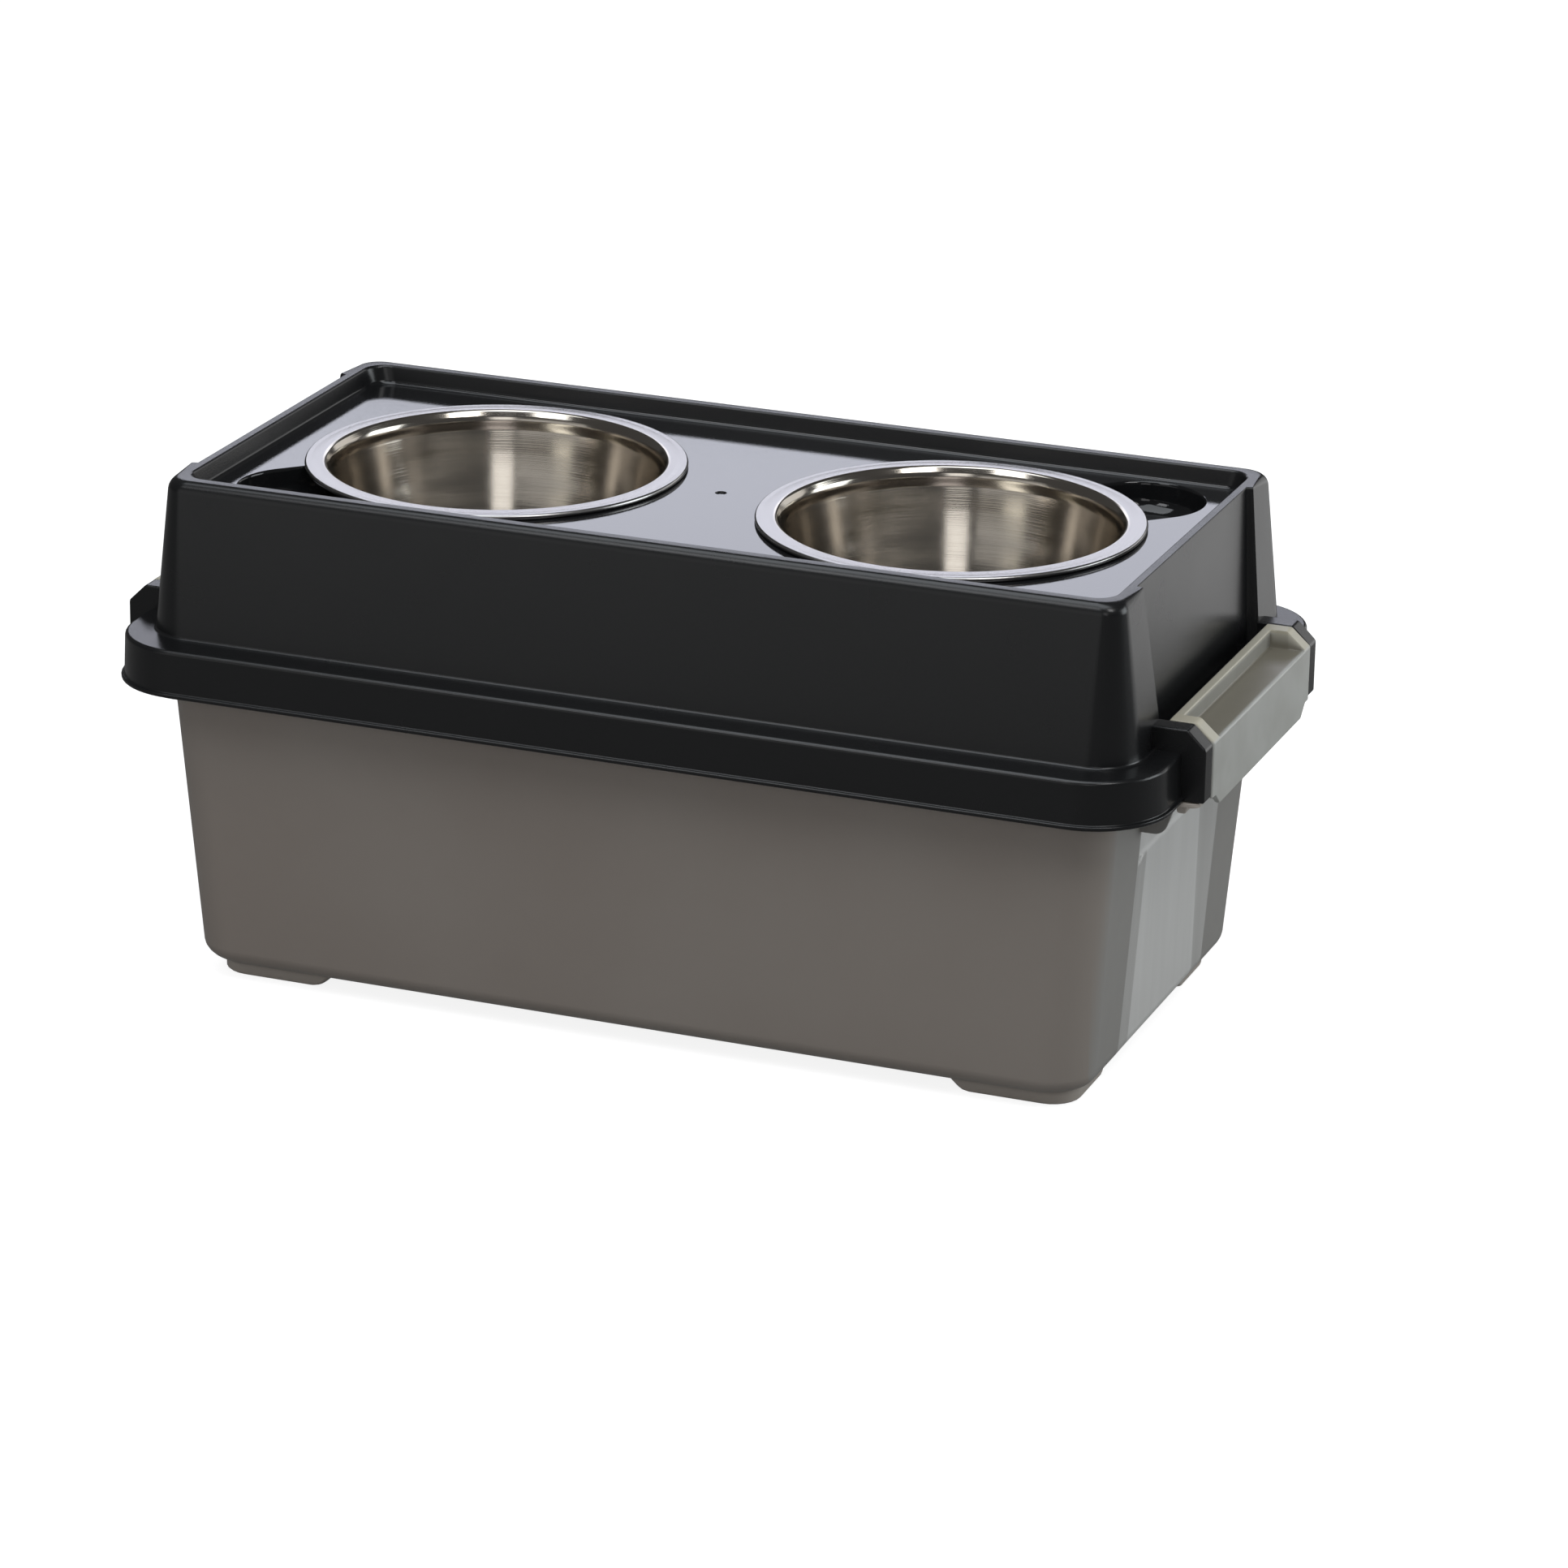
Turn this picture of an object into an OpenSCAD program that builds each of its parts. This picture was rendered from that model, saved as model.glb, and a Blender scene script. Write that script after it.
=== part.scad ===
// Raised feeder for two bowls: a lidded storage tub, a gasket, two drop-in
// steel bowls and a clip at each end. +X runs along the length, +Y to the
// back, +Z up; the origin is on the ground under the middle.

/* [Heights] */
// Height of the feet
foot_h = 7.2; // [4:0.2:12]
// Height of the tub from its underside to the top of its flange
tub_h = 130.7; // [100:0.5:180]
// Gap between the tub's flange and the lid's lip
lip_gap = 0.5; // [0.3:0.1:1]
// Height of the lid's skirt from its lip to the top of its ledge
skirt_h = 20.8; // [17:0.2:28]
// Height of the lid's box above the ledge
box_h = 68.64; // [60:0.2:90]
// Depth of the tray in the top of the lid
tray_depth = 8.24; // [6:0.1:12]

/* [Lid] */
// Room between a bowl and the rim of the tray at the ends
end_room = 21.4; // [16:0.5:40]
// Room between a bowl and the rim of the tray along the sides
side_room = 13.715; // [12:0.005:30]
// Corner radius of the lip
lip_r = 35.4; // [28:0.2:38]
// How far the lip's bead stands out from the skirt
bead_out = 1.4; // [0.5:0.1:2]
// Height of the lip's bead
bead_h = 2.5; // [1.5:0.1:4]
// Shoulder round of the skirt
shoulder_r = 3; // [1:0.2:4]
// Width of the ledge at the ends, measured from the lip
ledge_end = 14; // [13:0.5:18]
// Width of the ledge along the sides, measured from the lip
ledge_side = 18.4; // [16:0.2:24]
// Corner radius of the box at its base
box_r = 20; // [14:0.5:24]
// Corner radius of the box at its rim
box_r_top = 9; // [6:0.5:14]
// How far the box leans in from its base to its rim
box_draft = 7.95; // [5:0.05:11]
// Outer round of the rim
rim_r = 3; // [1:0.2:4]
// Width of the rim at the ends
rim_end = 5.6; // [5:0.1:9]
// Width of the rim along the sides
rim_side = 6.7; // [5.5:0.1:10]
// Corner radius of the tray
tray_r = 10; // [6:0.5:16]
// Fillet between the tray's floor and its wall
tray_fillet = 1.8; // [0.8:0.1:3]
// Wall of the lid
lid_t = 2; // [1.6:0.1:2.4]
// Room between an ear and the side of the recess in the end wall
recess_room = 1; // [0.6:0.1:4]
// Depth of that recess at the rim
recess_top = 2.6; // [1:0.1:4]
// Depth of that recess at the ledge
recess_base = 5.5; // [3:0.1:7]
// Width of the slope at each side of the recess
recess_ease = 5; // [3:0.5:7]
// Diameter of the moulding gate's ring in the tray
gate_d = 9; // [6:0.5:12]

/* [Tub] */
// How far the top of the tub's end walls lies inside the lip
tub_end_in = 23.1; // [20:0.1:30]
// How far the top of the tub's side walls lies inside the lip
tub_side_in = 17.2; // [15:0.1:24]
// How far the end walls lean in from top to bottom
tub_draft_end = 9.2; // [4:0.1:16]
// How far the side walls lean in from top to bottom
tub_draft_side = 7.5; // [4:0.1:14]
// Corner radius of the tub
tub_r = 20; // [14:0.5:30]
// Round along the bottom edge of the tub
bottom_r = 8; // [5:0.5:12]
// Wall of the tub
tub_t = 2; // [1.6:0.1:2.6]
// How far the sunk panel of each end wall stays inside the clip's ends
panel_in = 10.7; // [8:0.1:16]
// Width of the panel's sloping sides at its bottom
panel_side = 13; // [8:0.5:20]
// Width of the panel's sloping sides at its top
panel_side_top = 21; // [10:0.5:26]
// Depth of the panel at its top, from where it fades down to the tub's bottom
panel_low = 2.6; // [1.5:0.1:3]
// Height above the underside at which the panel steps back to the finger recess
panel_z = 91; // [70:1:105]
// Depth of the finger recess above it
panel_back = 3.6; // [3:0.1:6]
// Radius of the outer corners of the pads under the ears
pad_r = 4; // [1:0.5:5]
// How far the tub's flange stays inside the lip
flange_in = 6; // [1:0.1:6.4]
// Thickness of the flange
flange_t = 1.9; // [1.6:0.1:3]
// Thickness of the rim that stands up under the gasket
rib_t = 2.2; // [1.6:0.1:3]

/* [Feet] */
// How far the feet stay inside the tub's bottom at the ends
foot_end_in = 7.2; // [4:0.5:12]
// How far the feet stay inside the tub's bottom along the sides
foot_side_in = 10.9; // [8:0.5:16]
// Length of a foot along the side
foot_long = 48; // [36:1:70]
// Length of a foot along the end
foot_short = 40; // [32:1:50]
// Width of a foot's arms
foot_w = 19; // [14:0.5:24]
// Outer corner radius of a foot
foot_r = 13; // [8:0.5:16]
// Slope at the end of each arm of a foot
foot_slope = 12; // [6:0.5:16]

/* [Gasket] */
// Width of the gasket
gasket_w = 6; // [4:0.2:7]
// Height of the gasket
gasket_h = 4; // [3:0.2:5]
// Gap between the gasket and the tub's rim
seal_gap = 0.2; // [0.2:0.05:0.4]

/* [Bowls] */
// Diameter of a bowl over its rolled bead
bowl_d = 168.6; // [150:0.2:190]
// Gap between the two bowls
bowl_gap = 43.9; // [16:0.5:80]
// Diameter of the rolled bead
bowl_bead = 2.6; // [2.4:0.1:4]
// Width of the bowl's flat rim, bead included
bowl_rim = 10; // [6:0.1:11]
// Depth of a bowl below its rim
bowl_depth = 62; // [44:0.5:64]
// Sheet thickness of a bowl
bowl_t = 0.8; // [0.6:0.1:1.2]
// Height of the throat below the rim
throat_h = 8.5; // [6:0.5:12]
// How far the bowl's wall leans in
bowl_lean = 12.9; // [8:0.1:16]
// Round between the bowl's wall and its bottom
bowl_round = 8; // [6:0.5:14]
// Room between a bowl and its well
well_gap = 1.5; // [1:0.1:2]
// Room under a bowl in its well
well_room = 4; // [2.5:0.5:6]

/* [Finger scoops] */
// Width of a scoop
scoop_w = 54; // [40:0.5:60]
// Room between a scoop and the rim of the tray
scoop_room = 5.96; // [5:0.02:14]
// Depth of a scoop below the tray
scoop_depth = 14; // [9:0.5:20]
// Direction of a scoop from the bowl, measured from the length
scoop_turn = 45; // [35:1:55]

/* [Clips] */
// Length of a clip
clip_l = 137.6; // [110:0.2:142]
// How far a clip's face stands out from the lip
clip_out = 9.04; // [8.5:0.02:12]
// Wall of a clip
clip_t = 2.3; // [1.8:0.1:2.6]
// Height of a clip's top above the ledge
clip_top = 10.5; // [9.5:0.1:13]
// Chamfer of a clip's upper edge, outwards
clip_cut_x = 8.6; // [6:0.1:10]
// Chamfer of a clip's upper edge, downwards
clip_cut_z = 7.7; // [6.5:0.1:8]
// Width of the two solid ends of a clip
clip_end = 8.8; // [7:0.2:12]
// How far the middle of the clip's face hangs below the lip
clip_drop = 6.5; // [5:0.1:9]
// How far the two ends of the clip's face hang below the lip
clip_drop_end = 1.1; // [0.5:0.1:2]
// Length of the slope between the two
clip_slope = 6; // [4:0.5:10]
// Length of the nose that reaches under the tub's flange
nose = 2.6; // [2:0.1:3]
// Distance from a clip's face in to its pivot
pivot_in = 17; // [16:0.1:18]
// Height of the pivot above the ledge
pivot_z = 3.5; // [3.4:0.1:4]
// Radius of the barrel round the pivot
barrel_r = 3; // [2.7:0.1:3.1]
// Radius of a clip's pins
pin_r = 2.2; // [1.6:0.1:2.4]
// Length of a clip's pins past its ends
pin_l = 6; // [4:0.2:8]
// Running clearance of a pin in its bore
pin_gap = 0.06; // [0.03:0.01:0.09]
// Gap between the end of a clip and its ear
ear_gap = 0.5; // [0.3:0.1:1]
// Thickness of an ear
ear_t = 9.7; // [9:0.1:13]
// How far an ear's face stays inside a clip's face
ear_in = 0.54; // [0.4:0.02:2.5]

/* [Hidden] */
$fn = 96;
steps = 6;
eps = 0.01;
// Clearance between parts that pass each other without touching
pass_gap = 0.3;
z_under = foot_h;
z_flange = foot_h + tub_h;
z_lip = z_flange + lip_gap;
z_ledge = z_lip + skirt_h;
z_top = z_ledge + box_h;
z_tray = z_top - tray_depth;
z_seal = z_ledge - lid_t;
z_rib = z_seal - gasket_h - seal_gap;
// Half sizes of the lid's outlines, from the bowls out to the lip
bowl_x = (bowl_d + bowl_gap) / 2;
tray_x = bowl_x + bowl_d / 2 + end_room;
tray_y = bowl_d / 2 + side_room;
rim_x = tray_x + rim_end;
rim_y = tray_y + rim_side;
base_x = rim_x + box_draft;
base_y = rim_y + box_draft;
lip_x = base_x + ledge_end;
lip_y = base_y + ledge_side;
skirt_lean = 0.7;
skirt_x = lip_x - bead_out;
skirt_y = lip_y - bead_out;
// The gasket and the tub's rim run along the middle of the ledge
seal_x = (base_x + skirt_x - skirt_lean - 2 * lid_t) / 2 + lid_t / 2;
seal_y = (base_y + skirt_y - skirt_lean - 2 * lid_t) / 2 + lid_t / 2;
seal_r = lip_r - (lip_x - seal_x);
// Half sizes of the tub at its top and bottom
tub_top_x = lip_x - tub_end_in;
tub_top_y = lip_y - tub_side_in;
tub_low_x = tub_top_x - tub_draft_end;
tub_low_y = tub_top_y - tub_draft_side;
flange_x = lip_x - flange_in;
flange_y = lip_y - flange_in;
// Clip, ear and flange edge at the right-hand end
face_x = lip_x + clip_out;
ear_x = face_x - ear_in;
piv_x = face_x - pivot_in;
piv_z = z_ledge + pivot_z;
clip_y = clip_l / 2;
ear_y0 = clip_y + ear_gap;
ear_y1 = ear_y0 + ear_t;
recess_half = ear_y1 + recess_room;
panel_out = clip_y - panel_in;
shelf_x = face_x - clip_t - nose - pass_gap;
clip_low = z_lip - clip_drop;
clip_floor = z_ledge + clip_top - clip_cut_z;
// Bowls and their wells
bead_x = bowl_d / 2 - bowl_bead / 2;
throat_x = bowl_d / 2 - bowl_rim;
well_x = throat_x + bowl_t + well_gap;
bowl_top = z_tray + bowl_bead - 0.1;
bowl_low = bowl_top - bowl_depth;
well_low = bowl_low - well_room;
scoop_r = scoop_w / 2;
scoop_c = (tray_y - scoop_room - scoop_r) / sin(scoop_turn);

// Points of one arc about (cx, cy), from angle a0 to angle a1
function arc(cx, cy, r, a0, a1, n = steps) =
    [for (i = [0:n]) [cx + r * cos(a0 + (a1 - a0) * i / n), cy + r * sin(a0 + (a1 - a0) * i / n)]];
// Smooth step from 0 to 1
function ease(s) = s * s * (3 - 2 * s);
// One side slope of a recess: s runs from the flush wall to the recessed one
function slope(a, back, half, w, up) =
    [for (i = [0:3]) let (s = up ? i / 3 : 1 - i / 3) [a - back * ease(s), half + w * (1 - s)]];
// Rounded rectangle of half sizes a and b, its end walls set back over half
function outline(a, b, r, back = 0, half = 20, w = 4) = concat(
    [for (p = slope(a, back, half, w, true)) [p[0], -p[1]]],
    slope(a, back, half, w, false),
    arc(a - r, b - r, r, 0, 90),
    arc(r - a, b - r, r, 90, 180),
    [for (p = slope(a, back, half, w, true)) [-p[0], p[1]]],
    [for (p = slope(a, back, half, w, false)) [-p[0], -p[1]]],
    arc(r - a, r - b, r, 180, 270),
    arc(a - r, r - b, r, 270, 360));
// Closed solid through a list of rings, each a pair of outline and height.
// An end with a recess is closed by strips across X, any other by a fan.
module loft(rings, fan = false) {
    n = len(rings[0][0]);
    m = len(rings);
    points = [for (ring = rings) for (p = ring[0]) [p[0], p[1], ring[1]]];
    sides = [for (i = [0:m - 2]) for (j = [0:n - 1]) let (k = (j + 1) % n)
        each [[i * n + j, (i + 1) * n + j, (i + 1) * n + k], [i * n + j, (i + 1) * n + k, i * n + k]]];
    h = n / 2;
    cap = fan ? [for (j = [1:n - 2]) [0, j, j + 1]] :
        [for (k = [0:h - 2]) let (r = n - steps - 1 + k, l = n - steps - 2 - k)
            each [[r % n, (r + 1) % n, l - 1], [r % n, l - 1, l]]];
    lids = [for (f = cap) each [f, [for (i = [2:-1:0]) (m - 1) * n + f[i]]]];
    polyhedron(points, concat(sides, lids), convexity = 8);
}
// Profile in X and Z, drawn out along Y from y0 to y1
module run_y(y0, y1) {
    translate([0, y1, 0]) rotate([90, 0, 0]) linear_extrude(y1 - y0) children();
}
// Copies in all four quarters, and at both ends
module quarters() {
    for (i = [0, 1]) for (j = [0, 1]) mirror([i, 0, 0]) mirror([0, j, 0]) children();
}

// Outline of the tub at a height, shrunk by inset. The panel sinks in evenly
// from the bottom up to panel_z, and steps back to the finger recess above that
function tub_half(z) = (z - z_under) / tub_h;
function tub_line(z, inset = 0) = let (k = tub_half(z), high = z > z_under + panel_z + 0.5)
    let (s = min(1, max(0, (z - z_under) / panel_z)))
    let (side = high ? 3 : panel_side + (panel_side_top - panel_side) * s)
    let (out = high ? panel_out - 1.1 : panel_out)
    outline(tub_low_x + tub_draft_end * k - inset, tub_low_y + tub_draft_side * k - inset,
        max(2, tub_r - inset), high ? panel_back : panel_low * s, out - side + inset * 0.4, side);
function tub_foot_ring(grow, z) = let (slant = foot_slope * min(1, max(0, (z - 0.2) / z_under)))
    let (x1 = tub_low_x - foot_end_in + grow, y1 = tub_low_y - foot_side_in + grow)
    let (x0 = tub_low_x - foot_end_in - foot_long - slant - grow)
    let (y0 = tub_low_y - foot_side_in - foot_short - slant - grow)
    let (xi = x1 - foot_w - 2 * grow, yi = y1 - foot_w - 2 * grow)
    let (r = foot_r + grow)
    concat([[xi, yi], [xi, y0], [x1, y0]], arc(x1 - r, y1 - r, r, 0, 90), [[x0, y1], [x0, yi]]);

// One-piece moulded tub with a stepped rim, L-shaped feet and end webs
module tub() {
    z_in = z_under + tub_t;
    r_in = bottom_r - tub_t;
    color([0.45, 0.44, 0.43]) {
        difference() {
            union() {
                loft(concat(
                    [for (i = [0:4]) let (s = i * 22.5) [tub_line(z_under, bottom_r * (1 - sin(s))),
                        z_under + bottom_r * (1 - cos(s))]],
                    [[tub_line(z_under + panel_z), z_under + panel_z],
                    [tub_line(z_under + panel_z + 2), z_under + panel_z + 2],
                    [tub_line(z_flange - flange_t), z_flange - flange_t],
                    [outline(flange_x, flange_y, lip_r - flange_in), z_flange - flange_t],
                    [outline(flange_x, flange_y, lip_r - flange_in), z_flange],
                    [outline(seal_x + rib_t / 2, seal_y + rib_t / 2, seal_r), z_flange],
                    [outline(seal_x + rib_t / 2, seal_y + rib_t / 2, seal_r), z_rib],
                    [outline(seal_x - rib_t / 2, seal_y - rib_t / 2, seal_r - rib_t), z_rib],
                    [outline(seal_x - rib_t / 2, seal_y - rib_t / 2, seal_r - rib_t), z_flange],
                    [tub_line(z_flange, tub_t), z_flange],
                    [tub_line(z_under + panel_z + 2, tub_t), z_under + panel_z + 2],
                    [tub_line(z_under + panel_z, tub_t), z_under + panel_z]],
                    [for (i = [3:-1:0]) let (s = i * 30) [tub_line(z_under, tub_t + r_in * (1 - sin(s))),
                        z_in + r_in * (1 - cos(s))]]));
                quarters() loft([[tub_foot_ring(-0.6, 0), 0], [tub_foot_ring(0, 0.6), 0.6],
                    [tub_foot_ring(0, z_under), z_under], [tub_foot_ring(0, z_under + 0.6), z_under + 0.6]], true);
                shelf();
                quarters() webs();
            }
            quarters() loft([[tub_foot_ring(-tub_t - 0.6, tub_t), tub_t],
                [tub_foot_ring(-tub_t, tub_t + 0.6), tub_t + 0.6],
                [tub_foot_ring(-tub_t, z_in + 1), z_in + 1]], true);
        }
    }
}
// Shelf at each end of the flange, pads under the ears and the notch between
module shelf() {
    for (i = [0, 1]) mirror([i, 0, 0]) {
        translate([flange_x - 4, clip_t + pass_gap - clip_y, z_flange - flange_t])
            cube([shelf_x - flange_x + 4, 2 * (clip_y - clip_t - pass_gap), flange_t]);
        for (j = [0, 1]) mirror([0, j, 0])
            translate([0, 0, z_flange - flange_t]) linear_extrude(flange_t) polygon(concat(
                [[flange_x - 4, ear_y0 - ear_gap / 4], [ear_x - 2, ear_y0 - ear_gap / 4]],
                arc(ear_x - 2 - pad_r, ear_y1 + 1 - pad_r, pad_r, 0, 90),
                [[flange_x - 4, ear_y1 + 1]]));
    }
}
// Web under the flange at each side of the end panel, and the small stop tab
module webs() {
    root = tub_top_x - 2.6;
    under = z_flange - 23.5;
    tab = ear_x - 10;
    run_y(panel_out - 0.9, panel_out + 1.1) polygon(concat([[root, under]],
        arc(root + 10, under + 5, 5, -90, -20), [[seal_x - 1, z_flange - 8],
        [seal_x + 1, z_flange - flange_t + eps], [root, z_flange - flange_t + eps]]));
    run_y(ear_y0 + 2.7, ear_y0 + 8.7) polygon([[tab - 2, z_flange - 5.5], [tab + 2, z_flange - 5.5],
        [tab + 2.4, z_flange - flange_t + eps], [tab - 2.4, z_flange - flange_t + eps]]);
}

// Outline of the lid's box; k runs from 0 at the ledge to 1 at the rim
function box_line(k, inset = 0) = outline(base_x - box_draft * k - inset, base_y - box_draft * k - inset,
    max(2, box_r + (box_r_top - box_r) * k - inset), recess_base + (recess_top - recess_base) * k, recess_half + inset * 0.4,
    recess_ease);
function skirt_line(k, inset = 0) = outline(skirt_x - skirt_lean * k - inset, skirt_y - skirt_lean * k - inset,
    lip_r - bead_out - skirt_lean * k - inset);
function tray_line(inset, r) = outline(tray_x - inset, tray_y - inset * 0.8, r);
function box_k(z) = (z - z_ledge) / box_h;
// Slot-shaped ring of a scoop, pointing along +X from its bowl's centre
function scoop_line(r) = concat([[0, -r]], arc(scoop_c, 0, r, -90, 90, 12), [[0, r]]);
// Well under a bowl, as a profile turned about the bowl's centre
module well_solid(grow, top) {
    low = well_low - grow;
    translate([bowl_x, 0, 0]) rotate_extrude() polygon(concat([[0, low]],
        arc(well_x - bowl_lean - 8 + grow, low + 8, 8, -90, 0, 5),
        [[well_x - 2 + grow, z_tray - throat_h - 3], [well_x + grow, z_tray - throat_h + 2],
        [well_x + grow, top], [0, top]]));
}
module scoop_solid(grow, top) {
    low = z_tray - scoop_depth - grow;
    translate([bowl_x, 0, 0]) rotate(scoop_turn) loft(concat([for (i = [0:4]) let (s = i * 22.5)
        [scoop_line(scoop_r - 9 + 9 * sin(s) + grow - 0.8), low + 9 * (1 - cos(s))]],
        [[scoop_line(scoop_r + grow), top]]), true);
}

// Closed well under the right-hand bowl with its finger scoop, moulded on the
// lid's tray, here as a solid of its own that meets the tray's underside
module well() {
    color([0.15, 0.15, 0.155]) difference() {
        union() {
            well_solid(lid_t, z_tray - lid_t);
            scoop_solid(lid_t, z_tray - lid_t);
        }
        well_solid(0, z_tray + 1);
        scoop_solid(0, z_tray + 1);
    }
}
module well_right() { well(); }
module well_left() { rotate(180) well(); }

// Moulded lid: skirt, ledge, box, tray with its two openings, and ears
module lid() {
    z_round = z_top - rim_r;
    z_ceil = z_top - 2 * lid_t;
    color([0.15, 0.15, 0.155])
        difference() {
            union() {
                loft(concat(
                    [[tray_line(2 - lid_t * 0.5, tray_r), z_tray - lid_t],
                    [tray_line(1.2 - lid_t, tray_r + 1), z_ceil],
                    [box_line(box_k(z_ceil), lid_t * 0.8), z_ceil],
                    [box_line(0, lid_t * 0.8), z_seal],
                    [skirt_line(1, lid_t), z_seal],
                    [skirt_line(0, lid_t), z_lip],
                    [outline(lip_x - 0.3, lip_y - 0.3, lip_r - 0.3), z_lip],
                    [outline(lip_x, lip_y, lip_r), z_lip + 0.5],
                    [outline(lip_x, lip_y, lip_r), z_lip + bead_h - 0.7],
                    [outline(lip_x - 0.5, lip_y - 0.5, lip_r - 0.5),
                        z_lip + bead_h - 0.1],
                    [skirt_line(0), z_lip + bead_h]],
                    [for (i = [0:3]) let (s = i * 30)
                        [skirt_line(1, shoulder_r * (1 - cos(s))), z_ledge - shoulder_r * (1 - sin(s))]],
                    [[box_line(0, -1.6), z_ledge], [box_line(0, -0.4), z_ledge + 0.4],
                    [box_line(0.02), z_ledge + 0.02 * box_h]],
                    [for (i = [0:3]) let (s = i * 30)
                        [box_line(box_k(z_round), rim_r * (1 - cos(s))), z_round + rim_r * sin(s)]],
                    [[tray_line(0, tray_r), z_top], [tray_line(1.1, tray_r), z_top - 0.5],
                    [tray_line(1.5, tray_r), z_top - 1.6],
                    [tray_line(3.2 - tray_fillet * 0.3, tray_r), z_tray + tray_fillet],
                    [tray_line(3.4 + tray_fillet * 0.3, tray_r), z_tray + tray_fillet * 0.35],
                    [tray_line(3.2 + tray_fillet, tray_r), z_tray]]));
                quarters() ear();
                translate([0, 0, z_tray - 1]) cylinder(r = gate_d / 6, h = 1.4);
            }
            for (i = [0, 1]) rotate(180 * i) {
                well_solid(0, z_tray + 1);
                scoop_solid(0, z_tray + 1);
            }
            translate([0, 0, z_tray - 0.5]) difference() {
                cylinder(r = gate_d / 2, h = 2);
                translate([0, 0, -1]) cylinder(r = gate_d / 3, h = 4);
            }
            quarters() translate([piv_x, ear_y0 - 1, piv_z]) rotate([-90, 0, 0])
                cylinder(r = pin_r + pin_gap, h = pin_l - ear_gap + pass_gap + 1);
        }
}
// Ear that carries one end of a clip: a block with the clip's own chamfer
module ear() {
    wall = base_x - recess_base - lid_t * 0.4;
    skirt = skirt_x - skirt_lean - lid_t / 2;
    run_y(ear_y0, ear_y1) polygon([[wall, z_ledge - lid_t / 2], [skirt, z_ledge - lid_t / 2],
        [skirt, z_lip - 0.2], [ear_x, z_lip - 0.2], [ear_x, z_ledge + clip_top - clip_cut_z - 0.4],
        [ear_x - clip_cut_x + 0.4, z_ledge + clip_top - 0.1], [wall, z_ledge + clip_top - 0.1]]);
}

// Soft ring in the roof of the ledge, above the tub's rim
module lid_gasket() {
    w = gasket_w / 2;
    color([0.75, 0.76, 0.76]) translate([0, 0, z_seal - gasket_h]) linear_extrude(gasket_h) difference() {
        polygon(outline(seal_x + w, seal_y + w, seal_r + w - rib_t / 2));
        polygon(outline(seal_x - w, seal_y - w, seal_r - w - rib_t / 2));
    }
}

// Inner face of a bowl's sheet from its bead in to its middle
bowl_path = concat([[bead_x, bowl_top], [throat_x + 2.2, bowl_top]],
    arc(throat_x + 2.2, bowl_top - 3, 3, 100, 170, 5),
    [[throat_x - 1.2, bowl_top - 5], [throat_x - 1.8, bowl_top - throat_h], [throat_x - 2.6, bowl_top - throat_h - 1]],
    [for (p = arc(throat_x - 2 - bowl_lean - bowl_round, bowl_low + bowl_round, bowl_round, 17, -90, 8)) p],
    [[12, bowl_low], [0, bowl_low]]);
// The same path moved outwards by the sheet's thickness
function shift(p, i) = let (a = p[max(0, i - 1)], b = p[min(len(p) - 1, i + 1)], d = b - a)
    let (u = d / norm(d)) [max(0, p[i][0] - bowl_t * u[1]), p[i][1] + bowl_t * u[0]];
// Drop-in steel bowl: one sheet with a rolled bead
module bowl() {
    n = len(bowl_path);
    color([0.78, 0.78, 0.79]) {
        rotate_extrude($fn = 120) polygon(concat(bowl_path, [for (i = [n - 1:-1:0]) shift(bowl_path, i)]));
        rotate_extrude($fn = 120) translate([bead_x, z_tray + bowl_bead / 2]) circle(d = bowl_bead, $fn = 24);
    }
}
module bowl_left() { translate([-bowl_x, 0, 0]) bowl(); }
module bowl_right() { translate([bowl_x, 0, 0]) bowl(); }

// Swinging clip at the right-hand end: open pocket on top, face, nose, pins
module latch() {
    top = z_ledge + clip_top;
    under = piv_z - barrel_r;
    plate_x = face_x - clip_t;
    inner = clip_y - clip_end;
    web_x = lip_x + 0.7;
    color([0.62, 0.62, 0.6]) {
        difference() {
            union() {
                run_y(-clip_y, clip_y) polygon([[piv_x, under], [face_x, under], [face_x, top - clip_cut_z],
                    [face_x - clip_cut_x, top], [piv_x - barrel_r, top], [piv_x - barrel_r, piv_z]]);
                translate([piv_x, clip_y, piv_z]) rotate([90, 0, 0]) cylinder(r = barrel_r, h = clip_l);
            }
            run_y(-inner, inner) polygon([[piv_x + 1, clip_floor], [face_x + 1, clip_floor],
                [face_x + 1, top + 1], [piv_x + 1, top + 1]]);
        }
        translate([plate_x, 0, 0]) rotate([90, 0, 90]) linear_extrude(clip_t) polygon([
            [-clip_y, under + eps], [-clip_y, z_lip - clip_drop_end],
            [-inner - 4, z_lip - clip_drop_end], [clip_slope - inner - 4, clip_low],
            [inner + 4 - clip_slope, clip_low],
            [inner + 4, z_lip - clip_drop_end], [clip_y, z_lip - clip_drop_end], [clip_y, under + eps]]);
        for (j = [0, 1]) mirror([0, j, 0]) {
            run_y(clip_y - clip_t, clip_y) polygon([[web_x, z_lip - clip_drop_end], [face_x - eps, z_lip - clip_drop_end],
                [face_x - eps, under + eps], [web_x, under + eps]]);
            translate([piv_x, clip_y - 1, piv_z]) rotate([-90, 0, 0]) cylinder(r = pin_r, h = pin_l + 1);
        }
        nose_y = inner - clip_slope;
        run_y(-nose_y, nose_y) polygon([[plate_x + eps, clip_low], [plate_x - nose + 0.4, clip_low],
            [plate_x - nose, clip_low + 0.4], [plate_x - nose, clip_low + 2.2], [plate_x + eps, clip_low + 3.4]]);
    }
}
module latch_right() { latch(); }
module latch_left() { mirror([1, 0, 0]) latch(); }

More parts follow.
